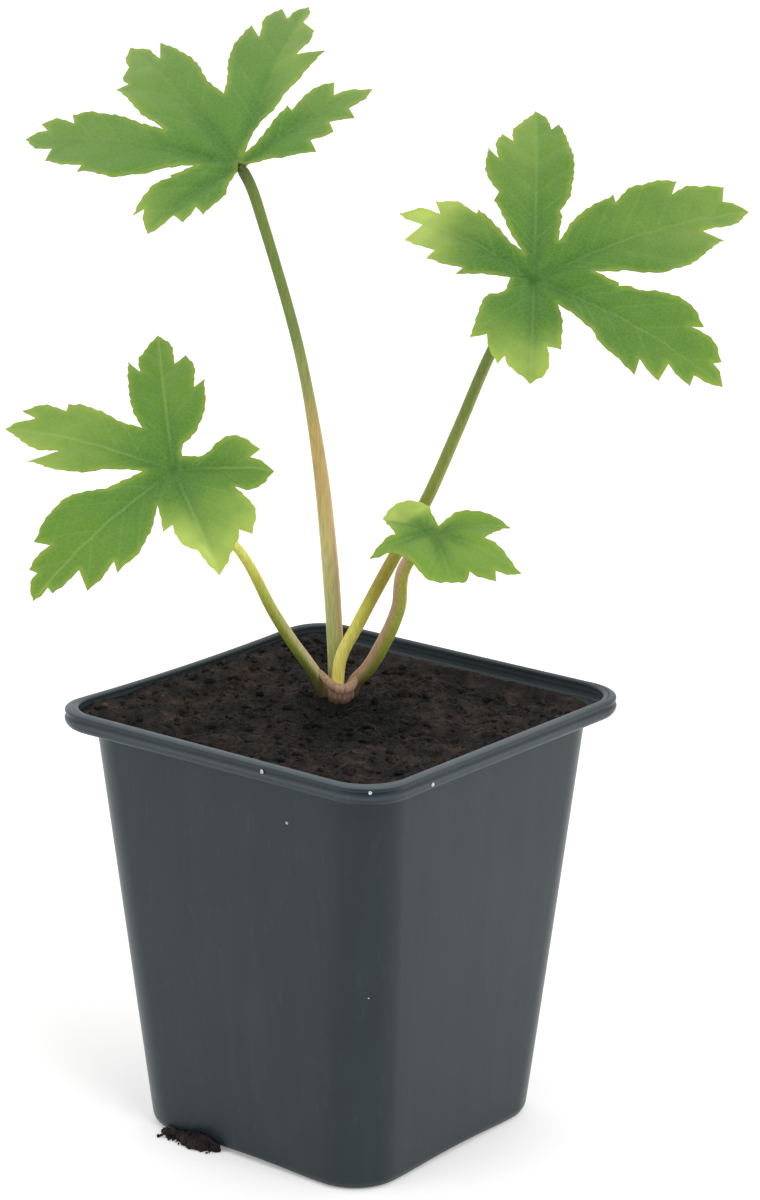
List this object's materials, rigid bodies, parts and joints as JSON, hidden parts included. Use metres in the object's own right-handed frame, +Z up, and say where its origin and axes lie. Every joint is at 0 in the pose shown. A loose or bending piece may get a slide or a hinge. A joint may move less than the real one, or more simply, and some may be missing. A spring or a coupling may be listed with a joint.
{
  "type": "potted masterwort",
  "caption": "Young masterwort with long-stalked, five-lobed toothed leaves growing from soil in a tapered square nursery pot.",
  "frame": {"origin": "on the ground under the middle of the pot's base", "axes": "+Z up, +X and +Y square to two sides of the pot; the picture looks at the corner between -Y and +X"},
  "size_m": [0.1421, 0.1348, 0.238],
  "materials": {
    "pot_plastic": "moulded recycled plastic, dark bluish grey, satin",
    "soil": "dark peat compost with fibres, rough",
    "crown": "pinkish tan living tissue, matt",
    "stalk": "olive green to pinkish tan stalk with a soft sheen",
    "leaf": "mid green leaf, satin above and paler below"
  },
  "bodies": {
    "root": {"pot": "pot_plastic", "soil": "soil", "spilled_soil": "soil", "crown": "crown", "stalk_left_high": "stalk", "stalk_right_high": "stalk", "stalk_left_low": "stalk", "stalk_young": "stalk", "leaf_left_high": "leaf", "leaf_right_high": "leaf", "leaf_left_low": "leaf", "leaf_young": "leaf"}
  },
  "joints": []
}
